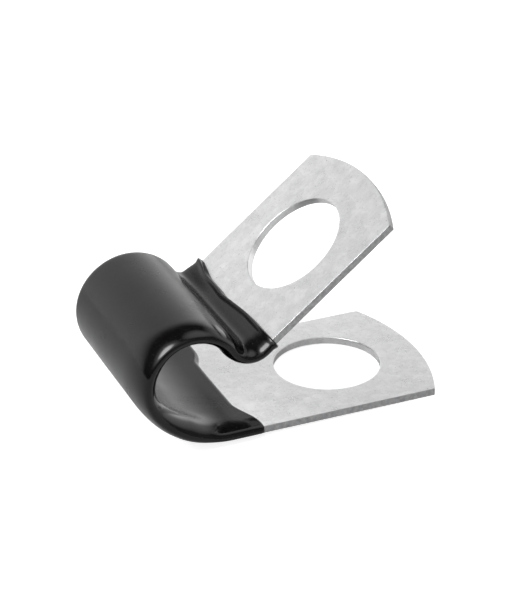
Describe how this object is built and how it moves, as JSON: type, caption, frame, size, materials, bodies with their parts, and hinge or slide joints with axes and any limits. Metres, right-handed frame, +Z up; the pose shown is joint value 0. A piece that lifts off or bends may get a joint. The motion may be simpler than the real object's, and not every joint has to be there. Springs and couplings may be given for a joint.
{
  "type": "wire clamp",
  "caption": "Open loop clamp for wires and tubes: a folded galvanised strap with a bolt hole in each tab, its loop dipped in black vinyl.",
  "frame": {"origin": "middle of the lower bolt hole, on the underside of the bare lower tab", "axes": "+X along the lower tab from the loop to its tip, +Y across the strap, +Z up through the lower bolt hole"},
  "size_m": [0.0291, 0.0168, 0.0188],
  "materials": {
    "galvanised_steel": "satin",
    "black_vinyl": "gloss"
  },
  "bodies": {
    "root": {"steel_strap": "galvanised_steel", "vinyl_coat": "black_vinyl"}
  },
  "joints": []
}
